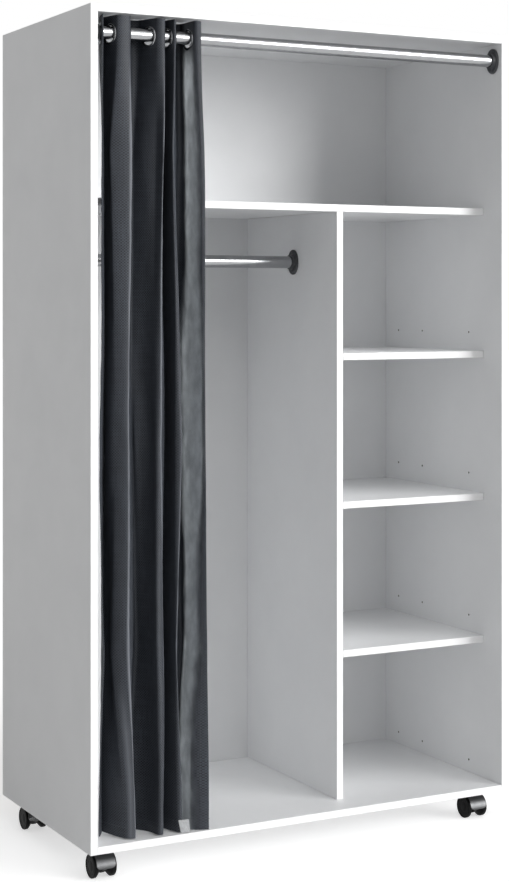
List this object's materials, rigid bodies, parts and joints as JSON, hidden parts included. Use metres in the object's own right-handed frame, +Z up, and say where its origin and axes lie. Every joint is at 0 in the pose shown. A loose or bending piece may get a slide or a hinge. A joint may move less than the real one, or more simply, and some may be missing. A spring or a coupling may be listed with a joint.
{
  "type": "wardrobe",
  "caption": "Open wardrobe on twin-wheel castors: hanging bay with a rail, a column of shelf bays, a top compartment and an eyelet curtain on a rod across the front.",
  "frame": {"origin": "the middle of the footprint, on the floor, with the wheels standing on it", "axes": "+X to the right and +Y to the back, seen from the open front; +Z up"},
  "size_m": [1.04, 0.518, 1.801],
  "materials": {
    "melamine": "white melamine on chipboard, fine satin grain, edges banded",
    "backboard": "white lacquered thin fibreboard",
    "beech": "fluted beech dowel",
    "chrome": "polished chrome plate on steel tube",
    "anthracite": "moulded, fine spark texture",
    "curtain_cloth": "dense woven cloth, matt with a faint sheen",
    "eyelet_metal": "pressed and plated",
    "label_tape": "woven satin tape, plain",
    "castor_wheel": "moulded, smooth tread",
    "castor_hood": "silver-grey moulding, satin",
    "zinc_steel": "bright zinc plate"
  },
  "bodies": {
    "carcass": {"side_panel_left": "melamine", "side_panel_right": "melamine", "top_panel": "melamine", "bottom_panel": "melamine", "divider_panel": "melamine", "top_shelf": "melamine", "shelf_1": "melamine", "shelf_2": "melamine", "shelf_3": "melamine", "back_panel": "backboard", "dowel_bottom_left_front": "beech", "dowel_bottom_left_rear": "beech", "dowel_top_left_front": "beech", "dowel_top_left_rear": "beech", "dowel_bottom_right_front": "beech", "dowel_bottom_right_rear": "beech", "dowel_top_right_front": "beech", "dowel_top_right_rear": "beech", "curtain_rod": "chrome", "curtain_rod_flange_left": "anthracite", "curtain_rod_flange_right": "anthracite", "hanging_rail": "chrome", "hanging_rail_flange_left": "anthracite", "hanging_rail_flange_right": "anthracite", "castor_front_left_plate": "zinc_steel", "castor_front_left_kingpin": "zinc_steel", "castor_front_right_plate": "zinc_steel", "castor_front_right_kingpin": "zinc_steel", "castor_rear_left_plate": "zinc_steel", "castor_rear_left_kingpin": "zinc_steel", "castor_rear_right_plate": "zinc_steel", "castor_rear_right_kingpin": "zinc_steel"},
    "curtain_pack": {"curtain": "curtain_cloth", "eyelet_1": "eyelet_metal", "eyelet_2": "eyelet_metal", "eyelet_3": "eyelet_metal", "eyelet_4": "eyelet_metal", "eyelet_5": "eyelet_metal", "eyelet_6": "eyelet_metal", "eyelet_7": "eyelet_metal", "eyelet_8": "eyelet_metal", "care_label": "label_tape"},
    "castor_front_left": {"castor_front_left_hood": "castor_hood", "castor_front_left_axle": "zinc_steel"},
    "castor_front_left_left_wheel": {"castor_front_left_wheel_left": "castor_wheel"},
    "castor_front_left_right_wheel": {"castor_front_left_wheel_right": "castor_wheel"},
    "castor_front_right": {"castor_front_right_hood": "castor_hood", "castor_front_right_axle": "zinc_steel"},
    "castor_front_right_left_wheel": {"castor_front_right_wheel_left": "castor_wheel"},
    "castor_front_right_right_wheel": {"castor_front_right_wheel_right": "castor_wheel"},
    "castor_rear_left": {"castor_rear_left_hood": "castor_hood", "castor_rear_left_axle": "zinc_steel"},
    "castor_rear_left_left_wheel": {"castor_rear_left_wheel_left": "castor_wheel"},
    "castor_rear_left_right_wheel": {"castor_rear_left_wheel_right": "castor_wheel"},
    "castor_rear_right": {"castor_rear_right_hood": "castor_hood", "castor_rear_right_axle": "zinc_steel"},
    "castor_rear_right_left_wheel": {"castor_rear_right_wheel_left": "castor_wheel"},
    "castor_rear_right_right_wheel": {"castor_rear_right_wheel_right": "castor_wheel"}
  },
  "joints": [
    {"name": "curtain_slide", "type": "slide", "parent": "carcass", "child": "curtain_pack", "axis": [1, 0, 0], "range_m": [0, 0.745]},
    {"name": "castor_front_left_swivel", "type": "hinge", "parent": "carcass", "child": "castor_front_left", "pos_m": [-0.478, -0.195, 0.05], "axis": [0, 0, 1], "continuous": true},
    {"name": "castor_front_left_left_wheel_spin", "type": "hinge", "parent": "castor_front_left", "child": "castor_front_left_left_wheel", "pos_m": [-0.49435, -0.215, 0.025], "axis": [1, 0, 0], "continuous": true},
    {"name": "castor_front_left_right_wheel_spin", "type": "hinge", "parent": "castor_front_left", "child": "castor_front_left_right_wheel", "pos_m": [-0.46165, -0.215, 0.025], "axis": [1, 0, 0], "continuous": true},
    {"name": "castor_front_right_swivel", "type": "hinge", "parent": "carcass", "child": "castor_front_right", "pos_m": [0.451, -0.195, 0.05], "axis": [0, 0, 1], "continuous": true},
    {"name": "castor_front_right_left_wheel_spin", "type": "hinge", "parent": "castor_front_right", "child": "castor_front_right_left_wheel", "pos_m": [0.43465, -0.215, 0.025], "axis": [1, 0, 0], "continuous": true},
    {"name": "castor_front_right_right_wheel_spin", "type": "hinge", "parent": "castor_front_right", "child": "castor_front_right_right_wheel", "pos_m": [0.46735, -0.215, 0.025], "axis": [1, 0, 0], "continuous": true},
    {"name": "castor_rear_left_swivel", "type": "hinge", "parent": "carcass", "child": "castor_rear_left", "pos_m": [-0.478, 0.195, 0.05], "axis": [0, 0, 1], "continuous": true},
    {"name": "castor_rear_left_left_wheel_spin", "type": "hinge", "parent": "castor_rear_left", "child": "castor_rear_left_left_wheel", "pos_m": [-0.49435, 0.175, 0.025], "axis": [1, 0, 0], "continuous": true},
    {"name": "castor_rear_left_right_wheel_spin", "type": "hinge", "parent": "castor_rear_left", "child": "castor_rear_left_right_wheel", "pos_m": [-0.46165, 0.175, 0.025], "axis": [1, 0, 0], "continuous": true},
    {"name": "castor_rear_right_swivel", "type": "hinge", "parent": "carcass", "child": "castor_rear_right", "pos_m": [0.451, 0.195, 0.05], "axis": [0, 0, 1], "continuous": true},
    {"name": "castor_rear_right_left_wheel_spin", "type": "hinge", "parent": "castor_rear_right", "child": "castor_rear_right_left_wheel", "pos_m": [0.43465, 0.175, 0.025], "axis": [1, 0, 0], "continuous": true},
    {"name": "castor_rear_right_right_wheel_spin", "type": "hinge", "parent": "castor_rear_right", "child": "castor_rear_right_right_wheel", "pos_m": [0.46735, 0.175, 0.025], "axis": [1, 0, 0], "continuous": true}
  ]
}
